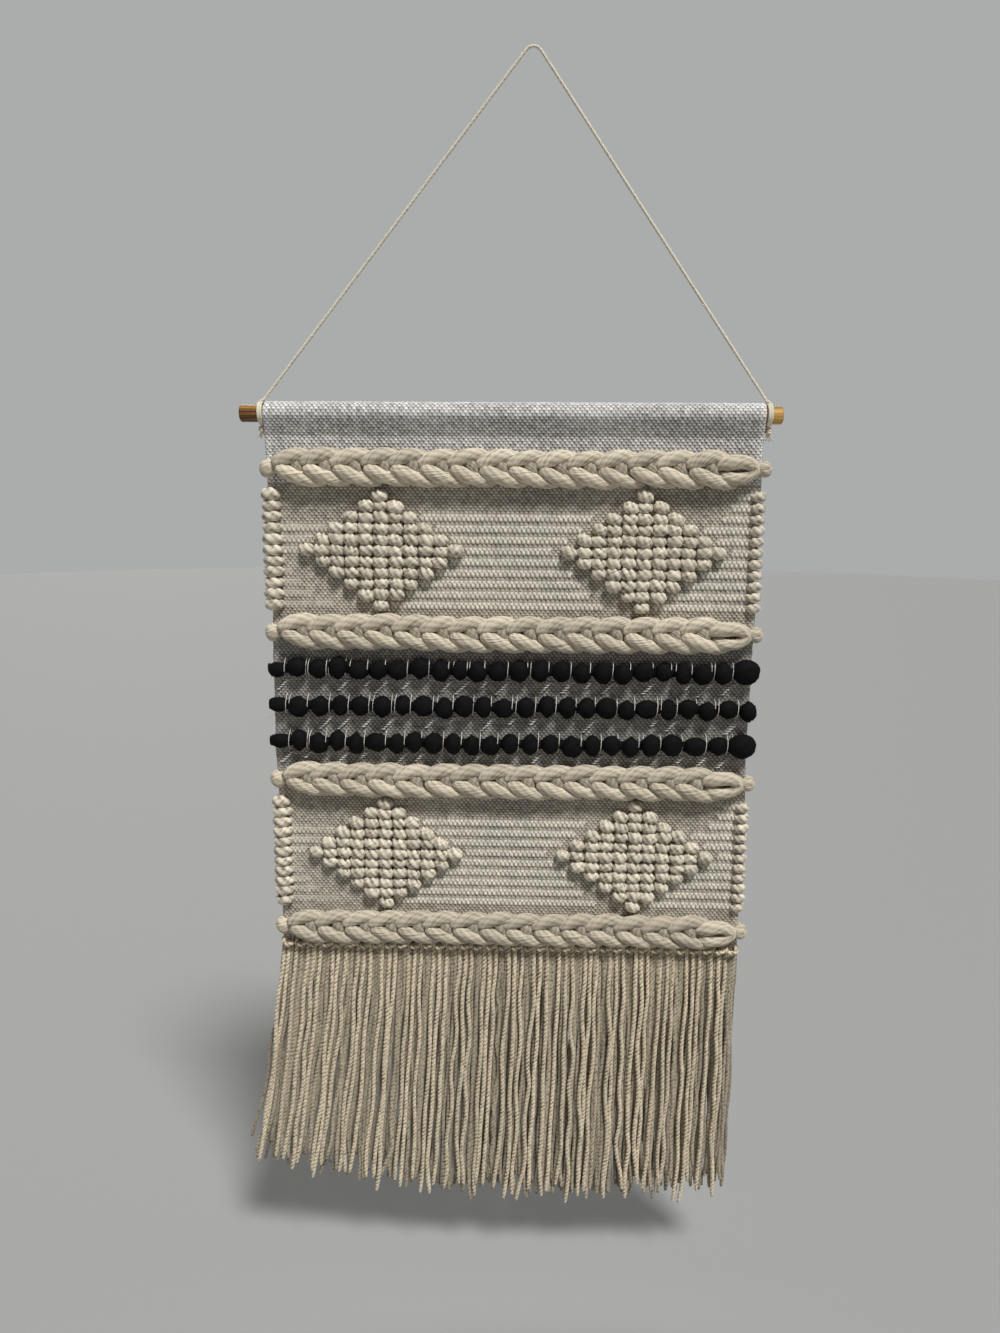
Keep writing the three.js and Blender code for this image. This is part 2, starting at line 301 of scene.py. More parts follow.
# ---- Cord ends ----
# At each side the cord goes round the rod one and a half times beside the selvedge, is knotted
# under the rod, and ends in a few untwisted plies.
rng = np.random.default_rng(3)
wrap_turns, wrap_shift = 1.5, 1.3
knot_drop, knot_turns, knot_round, knot_tall = 4.6, 2.2, 1.9, 4.6
tail_plies, tail_length = (-0.9, -0.2, 0.3, 0.8, 1.3), 8.2      # how far each ply leans outwards
for word, side in (("left", -1), ("right", 1)):
    x = hitch_x[word]
    turn = np.linspace(0, wrap_turns * 2 * math.pi, 64)
    wrap = np.stack([x + side * (0.4 + wrap_shift * np.cos(turn / 3 + 0.2)), -hitch_radius * np.sin(turn),
                     axis_z + hitch_radius * np.cos(turn)], axis=1)
    lead = spline([(x - side * 1.2, -0.6, axis_z + hitch_radius + 3),
                   (wrap[0][0], -0.4, axis_z + hitch_radius + 0.6), tuple(wrap[2])], 8)[:-1]
    knot_z = axis_z - hitch_radius - knot_drop
    tail = spline([tuple(wrap[-1]), (x, -1.2, knot_z + 2), (x + side * 0.6, -0.6, knot_z - 2.4)], 10)[1:]
    route = np.concatenate([lead, wrap, tail])
    along = np.concatenate([[0], np.cumsum(np.linalg.norm(np.diff(route, axis=0), axis=1))])
    hitch = strands(f"cord_hitch_{word}_turns", [route], cord_radius, 9, plies=3, turns=[along / 11],
                    crease=0.3, rear=(1, 0, 0))
    coil = np.linspace(0, knot_turns * 2 * math.pi, 40)
    wound = np.stack([x + side * 0.5 + knot_round * np.cos(coil), 2.2 * np.sin(coil) - 0.4,
                      knot_z + 2.4 - coil / coil[-1] * knot_tall], axis=1)
    knot = strands(f"cord_knot_{word}_wound", [wound], 1.3, 8, plies=3, turns=[coil * 0.5], crease=0.25,
                   rear=(0, 0, 1))
    plies = []
    for lean in tail_plies:
        reach = tail_length + rng.uniform(-1.5, 1.2)
        plies.append(spline([
            (x, -0.5, knot_z - 1.2), (x + side * lean * 1.2, -0.8 + rng.uniform(-1, 1), knot_z - 4),
            (x + side * lean * 3.6 + rng.uniform(-.6, .6), rng.uniform(-2, 1), knot_z - reach)], 9))
    brush = strands(f"cord_tail_{word}_plies", plies, [np.linspace(0.85, 0.5, 9)], 5,
                    tones=rng.uniform(0.2, 0.9, len(tail_plies)))
    for piece, part in ((hitch, "hitch"), (knot, "knot"), (brush, "tail")):
        piece.data.materials.append(cord_finish)
        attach(piece, "hanger")
        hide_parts(f"cord_{part}_{word}")

# ---- Rod ----
# A straight dowel of honey-coloured wood, its ends sawn square and lightly broken, sealed with a
# thin clear coat. The grain runs along it in bright and brown streaks, with painted light and shade
# that make it darker at the left end and paler at the right.
wood = Finish("dowel wood", {"Roughness": 0.5, "Specular IOR Level": 0.35, "Coat Weight": 0.3,
                             "Coat Roughness": 0.22})
along_rod = wood.node("SeparateXYZ", None, {0: wood.node("TexCoord", None, None, 3)})
across_rod, up_rod = along_rod.other(1), along_rod.other(2) + hook_drop * mm
grain = wood.noise(wood.node("CombineXYZ", None, {0: along_rod * 18, 1: across_rod * 900, 2: up_rod * 900}),
                   1.0, 4.0)
streak = wood.noise(wood.node("CombineXYZ", None, {0: along_rod * 5, 1: across_rod * 260, 2: up_rod * 260}),
                    1.0, 2.0)
# Painted light and shade: along_rod * 0.3 shifts the ramp, darker at the rod's left end and paler at its
# right.
tint = wood.node("ValToRGB", {"stops": [
    (0.36, (0.06, 0.022, 0.003)), (0.45, (0.24, 0.105, 0.014)), (0.54, (0.52, 0.27, 0.05)),
    (0.68, (0.85, 0.55, 0.18))]}, {0: grain * 0.6 + streak * 0.4 + along_rod * 0.3 - 0.01})
wood.dress(tint, grain, 0.0003)
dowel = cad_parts["dowel"]
dowel.data.materials.clear()
dowel.data.materials.append(wood.material)

# ---- Cloth ----
# A coarse plain weave of grey-beige cotton, one cloth with its top folded over the rod and sewn
# down as a pocket. In the two diamond bands eleven thick cream wool wefts a band are woven in
# with it, and they stay under the warp in the wedges beside the diamonds.
pocket_height, braid_height, diamond_band, roving_band = 39, 41, 116, 108
rod_play, cloth_thickness = 0.4, 2
pocket_radius = rod_radius + rod_play + 1.2
panel_top = axis_z + rod_radius + rod_play + cloth_thickness
braid_tops = [panel_top - pocket_height]
for band in (diamond_band, roving_band, diamond_band):
    braid_tops.append(braid_tops[-1] - braid_height - band)
panel_bottom = braid_tops[-1] - braid_height
wool_rows_a_band = 11
wool_pitch = diamond_band / wool_rows_a_band
end_pitch, pick = 4.4, wool_pitch / 4          # from one warp end, and one ground weft, to the next
columns = int(panel_width / end_pitch) * 4
diamond_x = (-140.8, 110.8)


def weave(name, spine, wool=None, first=0, thickness=0.9, seed=1, streaks=0.0):
    """A two-sided cloth along a line of (y, z) stations, half a pick apart and counted downwards.
    `wool` gives how much of the thick weft shows at each station and column."""
    rng = np.random.default_rng(seed)
    spine = np.asarray(spine, float)
    rows = len(spine)
    ahead = np.gradient(spine, axis=0)
    ahead /= np.linalg.norm(ahead, axis=1, keepdims=True)
    out = np.stack([ahead[:, 1], -ahead[:, 0]], axis=1)
    x = np.linspace(left_edge, right_edge, columns + 1)
    i, k = np.meshgrid(np.arange(columns + 1), np.arange(rows))
    grain = rng.uniform(0.7, 1.15, (rows // 2 + 2, columns // 4 + 2))
    over = np.array([1.0, 0.62, 0.0, 0.62])[(i + k // 2 * 2) % 4] * np.where(k % 2, 1.0, 0.3)
    over = over * grain[k // 2, (i + k // 2 * 2 + 2) // 4 % (columns // 4)]
    pick_tone = rng.uniform(0, 1, (rows // 2 + 2, columns // 4 + 2))
    tone = pick_tone[k // 2, i // 4] * 0.7 + 0.15
    slow = np.sin(i * 0.045 + 2 * np.sin(k * 0.045)) * 0.12
    slow = slow + streaks * (np.sin(i * 1.1) * np.sin(i * 0.37 + 1) > 0.6)
    slow = slow + 0.6 * (np.minimum(i, columns - i) < 6)
    thick = np.zeros_like(over) if wool is None else wool(x[i], k)
    wool_tone = rng.uniform(0.7, 1.0, (rows // 4 + 2, columns // 4 + 2))
    bead = np.array([1.0, 0.66, 0.0, 0.66])[(i + (k - first) // 4 * 2) % 4] * wool_tone[k // 4, i // 4]
    under, back_bead = np.roll(over, 2, axis=1), np.roll(bead, 2, axis=1)
    relief = over * 1.1 * (1 - 0.8 * np.minimum(thick, 1)) + thick * (0.4 + 1.6 * bead)
    # The crest marks are high on the threads' tops and low between them; cloth_finish paints shade from them.
    crest = np.clip(over * 1.15 * (1 - thick) + thick * (0.1 + bead), 0, 1)
    back_crest = np.clip(under * 1.15 * (1 - thick) + thick * (0.1 + back_bead), 0, 1)
    border = np.minimum(np.minimum(i, columns - i), 2) / 2 * (np.minimum(np.minimum(k, rows - 1 - k), 1) > 0)
    border = np.sqrt(border)
    sway = np.cumsum(rng.normal(0, 0.11, rows))
    sway = (sway - np.linspace(sway[0], sway[-1], rows))[:, None]
    sway = sway * (np.abs(x - x.mean()) / (panel_width / 2)) ** 4
    front = (thickness + relief) * border
    rear = (thickness + under * 0.8 * (1 - thick) + thick * (0.2 + 0.9 * back_bead)) * border
    faces = []
    for reach, sign in ((front, 1), (rear, -1)):
        y = spine[:, :1] + sign * out[:, :1] * reach
        z = spine[:, 1:] + sign * out[:, 1:] * reach
        faces.append(np.stack([x[i] + sway, y, z], axis=-1))
    points = np.concatenate([faces[0], faces[1][:, ::-1], faces[0][:, :1]], axis=1) * mm
    place = np.stack([(x[i] - left_edge) * mm, k * pick / 2 * mm], axis=-1)
    lay = np.concatenate([place, place[:, ::-1], place[:, :1]], axis=1)
    marks = {}
    tone, thick = np.clip(tone + slow, 0, 1), np.clip(thick, 0, 1)
    for mark, values, back in (("crest", crest, back_crest), ("tone", tone, tone), ("wool", thick, thick),
                               ("rear", 0 * thick, 0 * thick + 1)):
        marks[mark] = np.concatenate([values, back[:, ::-1], values[:, :1]], axis=1)
    return cover(name, points, lay, marks)


def cloth_finish(name, light, dark):
    """Cotton with the thick wool wefts over it, with painted shade between the threads, and greyer behind."""
    wool_light, wool_dark = (0.97, 0.91, 0.78), (0.13, 0.105, 0.07)
    finish = Finish(name, {"Roughness": 0.95, "Sheen Weight": 0.1, "Sheen Roughness": 0.6})
    lay = finish.node("UVMap", {"uv_map": "lay"})
    hair = finish.noise(lay, 900, 3.0)
    crest, tone, wool, rear = (finish.mark(word) for word in ("crest", "tone", "wool", "rear"))
    light, dark = finish.mix(rear, light, (0.74, 0.68, 0.58)), finish.mix(rear, dark, (0.085, 0.074, 0.056))
    # Painted shade: the ground and the wool darken towards the hollows between threads and beads, where crest
    # is low.
    ground = finish.mix(crest * 1.1 + hair * 0.4 + tone * 0.25 - 0.26, dark, light)
    weft = finish.mix(crest + hair * 0.6 - 0.26, wool_dark, wool_light)
    blend = finish.mix(wool, ground, weft)
    toned = finish.node("VectorMath", {"operation": "SCALE"}, {0: blend, "Scale": tone * 0.24 + 0.88})
    return finish.dress(toned, hair, 0.0004)


ground_finish = cloth_finish("cotton weave", (0.74, 0.67, 0.56), (0.085, 0.070, 0.050))
pocket_finish = cloth_finish("pocket weave", (0.97, 0.95, 0.92), (0.09, 0.081, 0.072))
band_finish = cloth_finish("roving band weave", (0.52, 0.49, 0.44), (0.05, 0.044, 0.037))


def wool_rows(first):
    """How much of each wool weft shows, in a band whose first row starts at station `first`."""
    profile = np.array([0.0, 0.12, 0.9, 1.0, 0.8, 1.0, 0.9, 0.12])
    middle_row, loop_room, nowhere = wool_rows_a_band // 2, 14.4, 400
    left_reach = np.array([0, 0, 0, 0, 0, 0, 16, 22, 30, 40, 60])
    between_room = np.array([nowhere, nowhere, 14, 10, 9, 9, 12, 18, 24, 28, 31])
    right_room = np.array([80, 60, 38, 6, 5, 5, 5, 5, 5, 5, 5])

    def shown(x, k):
        row = (k - first) // len(profile)
        inside = (row >= 0) & (row < wool_rows_a_band)
        row = np.clip(row, 0, wool_rows_a_band - 1)
        half = (wool_rows_a_band - 2 * np.abs(row - middle_row)) * loop_room / 2
        beside = np.where(row > middle_row, left_edge + left_reach[row], diamond_x[0] - half - 2)
        open_left = x < np.where(row < 3, -nowhere, beside)
        between = x > diamond_x[0] + half + np.where(row < 2, nowhere, 2)
        between &= x < diamond_x[1] - half - between_room[row]
        open_right = x > diamond_x[1] + half + right_room[row]
        open_left = open_left * np.where(row > middle_row, 0.45, 0.75)
        open_ground = np.maximum(open_left, between | open_right)
        return profile[(k - first) % len(profile)] * inside * open_ground

    return shown


def straight(top, bottom):
    """Stations half a pick apart down the flat cloth between two heights."""
    count = int(round((top - bottom) / (pick / 2)))
    return [(0.0, top - (top - bottom) * n / count) for n in range(count + 1)]


# The pocket's line: up the front, round over the rod, down the back to the hem.
seam_drop = pocket_height - (panel_top - axis_z)
front_foot = axis_z - seam_drop - 37
waist, waist_drop = 2.2, 19.5
lean = math.atan2(waist_drop, waist) - math.acos(pocket_radius / math.hypot(waist_drop, waist))
knots = [(0, front_foot), (-0.6, axis_z - seam_drop - 8), (-1.3, axis_z - seam_drop),
         (-waist, axis_z - waist_drop)]
knots += [(-pocket_radius * math.cos(a), axis_z + pocket_radius * math.sin(a))
          for a in np.linspace(-lean, math.pi + lean, 40)]
knots += [(waist, axis_z - waist_drop), (1.3, axis_z - seam_drop), (1.5, axis_z - seam_drop - 6)]
knots = np.array(knots)
steps = np.concatenate([[0], np.cumsum(np.linalg.norm(np.diff(knots, axis=0), axis=1))])
pocket_count = int(steps[-1] / (pick / 2)) + 1
at = np.linspace(0, steps[-1], pocket_count)
pocket_line = np.stack([np.interp(at, steps, knots[:, 0]), np.interp(at, steps, knots[:, 1])], axis=1)[::-1]
pocket = weave("rod_pocket_cloth", pocket_line, seed=5, thickness=0.75, streaks=0.35)
pocket.data.materials.append(pocket_finish)

# The rest of the cloth is four flat sheets. Each join lies behind a braid, where two overlap.
joins = [braid_tops[0] - 36, braid_tops[1] - 28, braid_tops[2] - 30, braid_tops[3] - 20.5, panel_bottom]
overlap = 1.5
cloth = []
for n, name in enumerate(("upper_diamond_cloth", "roving_band_cloth", "lower_diamond_cloth", "hem_cloth")):
    spine = straight(joins[n] + overlap, joins[n + 1] - (0 if n == 3 else overlap))
    first = int(round((spine[0][1] - braid_tops[n] + braid_height) / (pick / 2)))
    shown = wool_rows(first) if n in (0, 2) else None
    piece = weave(name, spine, shown, first, seed=20 + n)
    piece.data.materials.append(band_finish if n == 1 else ground_finish)
    cloth.append(piece)
for piece in (pocket, *cloth):
    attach(piece, "cloth")
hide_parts("woven_panel")

# ---- Pocket seam ----
# A row of small overhand stitches in grey cotton thread that sews the pocket's hem down at the
# back, behind the first braid.
stitch_pitch = 7.8
stitches = []
for n in range(int(panel_width / stitch_pitch)):
    x = left_edge + 4 + n * stitch_pitch
    stitches.append(spline([(x, 1.6, braid_tops[0] - 5.5), (x + 0.4, 3.2, braid_tops[0] - 4.5),
                            (x + 4.2, 3.3, braid_tops[0] - 1.5), (x + 4.6, 1.6, braid_tops[0] - 0.5)], 8))
stitch_radius = 0.5
seam = strands("pocket_seam_stitches", stitches, stitch_radius, 6, plies=2, turns=np.linspace(0, 3, 8),
               crease=0.2)
thread_finish = yarn_finish("sewing thread", (0.66, 0.62, 0.55), (0.30, 0.27, 0.22), 6, 100, 0.0002)
seam.data.materials.append(thread_finish)
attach(seam, "cloth")
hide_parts("pocket_seam")
trim = [seam]

# ---- Braids ----
# Four rows of chain stitch in thick cream roving. Each loop comes out of the loop before it at
# the middle and opens to the right in an upper and a lower arm. A stub of the roving goes round
# each selvedge, and at the right the last loop stands open like an eye.
roving_finish = yarn_finish("cream roving", (0.74, 0.65, 0.50), (0.11, 0.080, 0.045), 18, 15, 0.002,
                            sheen=0.1, coarse=26)
loops, arm_rings, stub_rings, float_rings = 16, 26, 22, 12
braid_start, braid_end = left_edge + 10.5, right_edge - 2
loop_pitch = (braid_end - braid_start) / (loops + 0.45)
# Each arm's points: along in loop pitches, out from the cloth and up from the braid's middle.
upper_arm = [(-0.05, 7.6, 0.0), (0.07, 8.2, 4.2), (0.36, 8.4, 8.6), (0.78, 7.6, 11.0), (1.18, 6.0, 9.4),
             (1.50, 4.2, 5.4)]
lower_arm = [(0.02, 8.8, 0.6), (0.20, 9.8, -3.0), (0.58, 9.6, -8.0), (0.98, 8.2, -11.8), (1.32, 6.0, -13.6),
             (1.62, 4.2, -13.8)]
arm_round = np.interp(np.linspace(0, 1, arm_rings), [0, 0.04, 0.12, 0.28, 0.5, 0.72, 0.9, 1],
                      [1.5, 4.4, 6.4, 7.4, 7.5, 6.6, 4.8, 2.4])
eye = [(-0.10, 7.5, 0.5), (0.10, 8.8, 4.4), (0.48, 9.0, 6.0), (0.94, 8.2, 6.0), (1.24, 7.2, -0.4),
       (1.00, 8.0, -7.4), (0.55, 8.8, -8.6), (0.22, 8.0, -7.2), (0.02, 5.0, -4.0)]
eye_round = np.interp(np.linspace(0, 1, arm_rings), [0, .05, .2, .45, .6, .85, 1],
                      [2, 5, 7.7, 6.2, 5.2, 6.4, 2.5])
stub_round = np.interp(np.linspace(0, 1, stub_rings), [0, .08, .2, .38, .6, .9, 1],
                       [1.4, 3.0, 4.6, 6.6, 6.0, 3.6, 1.2])
float_round = np.interp(np.linspace(0, 1, float_rings), [0, .2, .5, .8, 1], [1.6, 3.6, 4.4, 3.6, 1.6])
seat = -1.3                      # the cloth's front face, which the roving lies on
for number, top in enumerate(braid_tops, 1):
    rng = np.random.default_rng(40 + number)
    middle = top - braid_height / 2
    paths, radii, tones = [], [], []
    wander = np.cumsum(rng.normal(0, 0.35, loops + 2))
    wander -= np.linspace(wander[0], wander[-1], loops + 2)
    for loop in range(loops - 1):
        x = braid_start + loop * loop_pitch + rng.uniform(-1.3, 1.3)
        lift = wander[loop] + rng.uniform(-0.4, 0.4)
        for arm, spread in ((upper_arm, 1), (lower_arm, -1)):
            reach = min(1.0, (loops + 0.1 - loop) / 1.6) * rng.uniform(0.95, 1.05)
            puff = rng.uniform(-0.7, 0.7)
            knots = [(x + dx * loop_pitch * reach, seat - out - puff * 0.4,
                      middle + dz + lift + puff * spread * 0.5) for dx, out, dz in arm]
            paths.append(spline(knots, arm_rings))
            radii.append(arm_round * rng.uniform(0.92, 1.04) * (0.93 if spread < 0 else 0.97))
            # Painted shade: each braid further down gets darker arms, standing in for the light falling off
            # towards the bottom.
            tones.append(rng.uniform(0.2, 0.9) - 0.19 * (number - 1))
        inner_x = x + 0.74 * loop_pitch
        paths.append(spline([(inner_x - 5, -4.4, middle + 7 + lift), (inner_x - 1, -7.4, middle + 3 + lift),
                             (inner_x + 2, -7.6, middle - 3 + lift), (inner_x + 3, -4.4, middle - 8 + lift)],
                            arm_rings))
        radii.append(arm_round * 0.96)
        # Painted shade: the inner piece that fills the hole between the arms is made much darker, as the
        # shade in that hole.
        tones.append(rng.uniform(-1.0, -0.5))
    knots = [(braid_start + (loops - 1 + dx) * loop_pitch, seat - out, middle + dz) for dx, out, dz in eye]
    paths.append(spline(knots, arm_rings))
    radii.append(eye_round)
    tones.append(0.5)
    turns = np.linspace(0, 0.7, arm_rings) + rng.uniform(0, 1, (len(paths), 1))
    arms = strands(f"braid_{number}_roving", paths, radii, 20, plies=6, turns=turns, crease=0.1, flat=0.93,
                   tones=tones)
    left_stub = spline([(left_edge + 15, -4.0, middle + 1), (left_edge + 8, -5.6, middle - 0.5),
                        (left_edge + 2.0, -5.4, middle - 2), (left_edge - 0.6, 0, middle - 2),
                        (left_edge + 1.0, 3.6, middle - 1), (left_edge + 9, 3.4, middle + 1)], stub_rings)
    right_stub = spline([(right_edge - 11, -6.0, middle + 2), (right_edge - 4, -8.0, middle + 1),
                         (right_edge + 1.5, -5.0, middle), (right_edge + 2.8, 0, middle),
                         (right_edge - 1, 3.6, middle + 1), (right_edge - 9, 3.4, middle + 1)], stub_rings)
    stubs = strands(f"braid_{number}_stubs", [left_stub, right_stub], [stub_round * 1.15, stub_round], 16,
                    plies=6, turns=np.linspace(0, 0.5, stub_rings), crease=0.09, flat=1.22, rear=(0, 0, 1))
    back_floats = []
    for loop in range(loops):
        x = braid_start + (loop + 0.5) * loop_pitch + rng.uniform(-1, 1)
        back_floats.append(spline([(x - 9, 1.0, middle), (x - 6.5, 3.8, middle + rng.uniform(-.6, .6)),
                                   (x, 4.6, middle + rng.uniform(-1, 1)), (x + 6.5, 3.8, middle),
                                   (x + 9, 1.0, middle)], float_rings))
    floats = strands(f"braid_{number}_back_floats", back_floats, [float_round], 12, plies=5,
                     turns=np.linspace(0, 0.3, float_rings), crease=0.1, flat=0.75,
                     tones=rng.uniform(0.2, 0.8, loops))
    for piece in (arms, stubs, floats):
        piece.data.materials.append(roving_finish)
        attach(piece, "cloth")
        trim.append(piece)
    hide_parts(f"braid_{number}")

# ---- Looped diamonds ----
# Loops of plied cream wool pulled up from the thick wefts: 1, 3, 5 and so on to 11 in a row and
# back to 1. Each is a plump bead with slanting creases between its plies.
loop_finish = yarn_finish("plied wool loops", (0.84, 0.76, 0.61), (0.14, 0.108, 0.066), 12, 60, 0.0007,
                          depth=0.95, coarse=140)
bead_pitch, bead_round = 14.2, np.array([2.8, 5.2, 6.2, 6.5, 6.6, 6.5, 6.1, 5.1, 2.6])
bead_rings = len(bead_round)
for word, top in (("upper", braid_tops[0]), ("lower", braid_tops[2])):
    for side_word, centre in zip(("left", "right"), diamond_x):
        rng = np.random.default_rng({"upper": 60, "lower": 62}[word] + (centre > 0))
        paths, radii, tones = [], [], []
        for row in range(wool_rows_a_band):
            z = top - braid_height - (row + 0.5) * wool_pitch
            number = wool_rows_a_band - 2 * abs(row - wool_rows_a_band // 2)
            for n in range(number):
                x = centre + (n - (number - 1) / 2) * bead_pitch + rng.uniform(-0.9, 0.9)
                drop, tip = rng.uniform(-0.8, 0.8), rng.uniform(-0.1, 2.2)
                rise = rng.uniform(-0.5, 0.8)
                edge = (n in (0, number - 1)) * rng.uniform(0, 1.6)
                paths.append(spline([
                    (x - 5.0, -2.0, z + tip + drop), (x - 3.3, -4.2 - rise, z + tip * 0.8 + drop),
                    (x, -5.4 - rise, z + drop - edge * 0.4), (x + 3.3, -4.2 - rise, z - tip * 0.8 + drop),
                    (x + 5.0, -2.0, z - tip + drop)], bead_rings))
                radii.append(bead_round * rng.uniform(0.9, 1.06))
                tones.append(rng.uniform(0.05, 0.95))
        turns = np.linspace(0, 0.9, bead_rings) * rng.uniform(0.6, 1.2, (len(paths), 1))
        turns = turns + rng.uniform(0, 1, (len(paths), 1))
        beads = strands(f"diamond_{word}_{side_word}_loops", paths, radii, 12, plies=4, turns=turns,
                        crease=0.34, tones=tones)
        beads.data.materials.append(loop_finish)
        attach(beads, "cloth")
        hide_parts(f"diamond_{word}_{side_word}")
        trim.append(beads)

# ---- Selvedge turns ----
# Each thick weft turns back round the outermost warp end: a plied lump a row down the left
# selvedge and a smaller one down the right.
turn_round = np.array([2.4, 4.4, 5.6, 6.3, 6.5, 6.4, 6.0, 5.4, 4.8, 3.8, 2.8, 1.2])
turn_rings = len(turn_round)
for word, top in (("upper", braid_tops[0]), ("lower", braid_tops[2])):
    rng = np.random.default_rng({"upper": 81, "lower": 83}[word])
    paths, radii = [], []
    for row in range(wool_rows_a_band):
        z = top - braid_height - (row + 0.5) * wool_pitch
        for edge, inward, size in ((left_edge, 1, 1.0), (right_edge, -1, 0.72)):
            reach, tilt = rng.uniform(0.9, 1.2), rng.uniform(-1.2, 1.2)
            paths.append(spline([
                (edge + inward * 12 * size * reach, -1.2, z + tilt),
                (edge + inward * 7 * size, -4.2 * size, z + tilt * 0.4),
                (edge + inward * 1.5, -4.6 * size, z), (edge - inward * 1.2, -0.6, z),
                (edge + inward * 1.5, 3.2 * size, z), (edge + inward * 8 * size, 1.0, z)], turn_rings))
            radii.append(turn_round * (rng.uniform(0.94, 1.06) if size == 1 else rng.uniform(0.78, 0.88)))
    turns = np.linspace(0, 1.3, turn_rings) + rng.uniform(0, 1, (len(paths), 1))
    turned = strands(f"selvedge_turns_{word}", paths, radii, 12, plies=3, turns=turns, crease=0.26,
                     rear=(0, 0, 1), tones=rng.uniform(0.1, 0.9, len(paths)))
    turned.data.materials.append(loop_finish)
    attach(turned, "cloth")
    trim.append(turned)

# ---- Black roving ----
# Three rows of matt black wool roving. Warp threads tie each one down every 20 mm or so, and it
# swells into a bobble between two ties. Rows 1 and 3 end in a large woolly ball at the right.
black = Finish("black roving", {"Roughness": 0.8, "Specular IOR Level": 0.16})
spot = black.node("TexCoord", None, None, 3)
lay = black.node("SeparateXYZ", None, {0: black.node("UVMap", {"uv_map": "lay"})})
winding = black.node("CombineXYZ", None, {0: lay * 22 + lay.other(1) * 160, 1: lay.other(1) * 60})
wisp = black.noise(winding, 1.0, 3.0)
tuft = black.noise(spot, 420, 3.0)
felt = wisp * 0.5 + tuft * 0.5
black.dress(black.mix(felt * 1.6 - 0.35, (0.0008, 0.0008, 0.0009), (0.006, 0.0055, 0.006)), felt, 0.0014)
roving_middle = braid_tops[1] - braid_height - roving_band / 2
row_space, bobbles, overhang = 37, 24, 5
neck, ball = 5.0, 12.8           # the roving's radius at a tie and at the end's large ball
ties = []
for row in range(3):
    rng = np.random.default_rng(90 + row)
    z = roving_middle + (1 - row) * row_space
    spaces = rng.uniform(0.86, 1.14, bobbles)
    spaces[-1] = 1.18 if row != 1 else 0.8
    spaces *= (panel_width + 2 * overhang) / spaces.sum()
    starts = left_edge - overhang + np.concatenate([[0], np.cumsum(spaces)])
    path, width = [], []
    for n, (start, space) in enumerate(zip(starts, spaces)):
        big = n == bobbles - 1 and row != 1
        puff = ball if big else rng.uniform(9.8, 12.0) * (0.75 if n == 0 else 1)
        narrow, bluff = (0, 0.5) if big else (rng.uniform(0.08, 0.16), 0.64)
        drop, lift = rng.uniform(-1.4, 1.4), rng.uniform(-0.7, 0.9)
        for t in np.linspace(0.03, 0.97, 13):
            swell = math.sin(math.pi * min(max((t - narrow) / (1 - 2 * narrow), 0), 1)) ** bluff
            path.append((start + space * t, -1.0 - 6.2 * (0.62 + 0.38 * swell) - lift * swell,
                         z + drop * swell))
            width.append(neck + (puff - neck) * swell)
        if 0 < n:
            ties.append((start, z))
    path = np.array(path)
    turns = np.linspace(0, 9, len(path))[None] + 0.1 * np.sin(np.arange(len(path)))[None]
    roving = strands(f"roving_row_{row + 1}_bobbles", [path], [width], 18, plies=5, turns=turns, crease=0.13,
                     flat=0.72)
    rough = np.empty(len(roving.data.vertices) * 3)
    roving.data.vertices.foreach_get("co", rough)
    rough = rough.reshape(-1, 3)
    ripple = sum(np.sin(rough @ rng.normal(0, 260 * k, 3) + rng.uniform(0, 6)) / k for k in (1, 2, 3))
    ripple *= 0.42 * mm
    rough[:, 1] += ripple
    rough[:, 2] += ripple[::-1] * 0.9
    rough[:, 1] = np.minimum(rough[:, 1], 0.4 * mm)
    roving.data.vertices.foreach_set("co", rough.reshape(-1))
    roving.data.materials.append(black.material)
    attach(roving, "cloth")
    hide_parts(f"roving_row_{row + 1}")
    trim.append(roving)
    wisps = []
    for n in range(260):
        start, space = starts[n % bobbles], spaces[n % bobbles]
        turn, across = rng.uniform(-1.2, 4.3), rng.uniform(0.15, 0.85)
        swell = math.sin(math.pi * across)
        centre = np.array([start + space * across, -6.6, z])
        aim = np.array([rng.uniform(-0.5, 0.5), -0.72 * math.sin(turn), math.cos(turn)])
        root = centre + aim * 9.0 * swell
        bend = rng.normal(0, 2.2, 3)
        if root[1] > -5:
            continue
        wisps.append(spline([root, root + aim * 1.6 + bend * 0.3, root + aim * 2.6 + bend], 4))
    fuzz = strands(f"roving_row_{row + 1}_fuzz", wisps, 0.09, 3)
    fuzz.data.materials.append(black.material)
    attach(fuzz, "cloth")
    trim.append(fuzz)

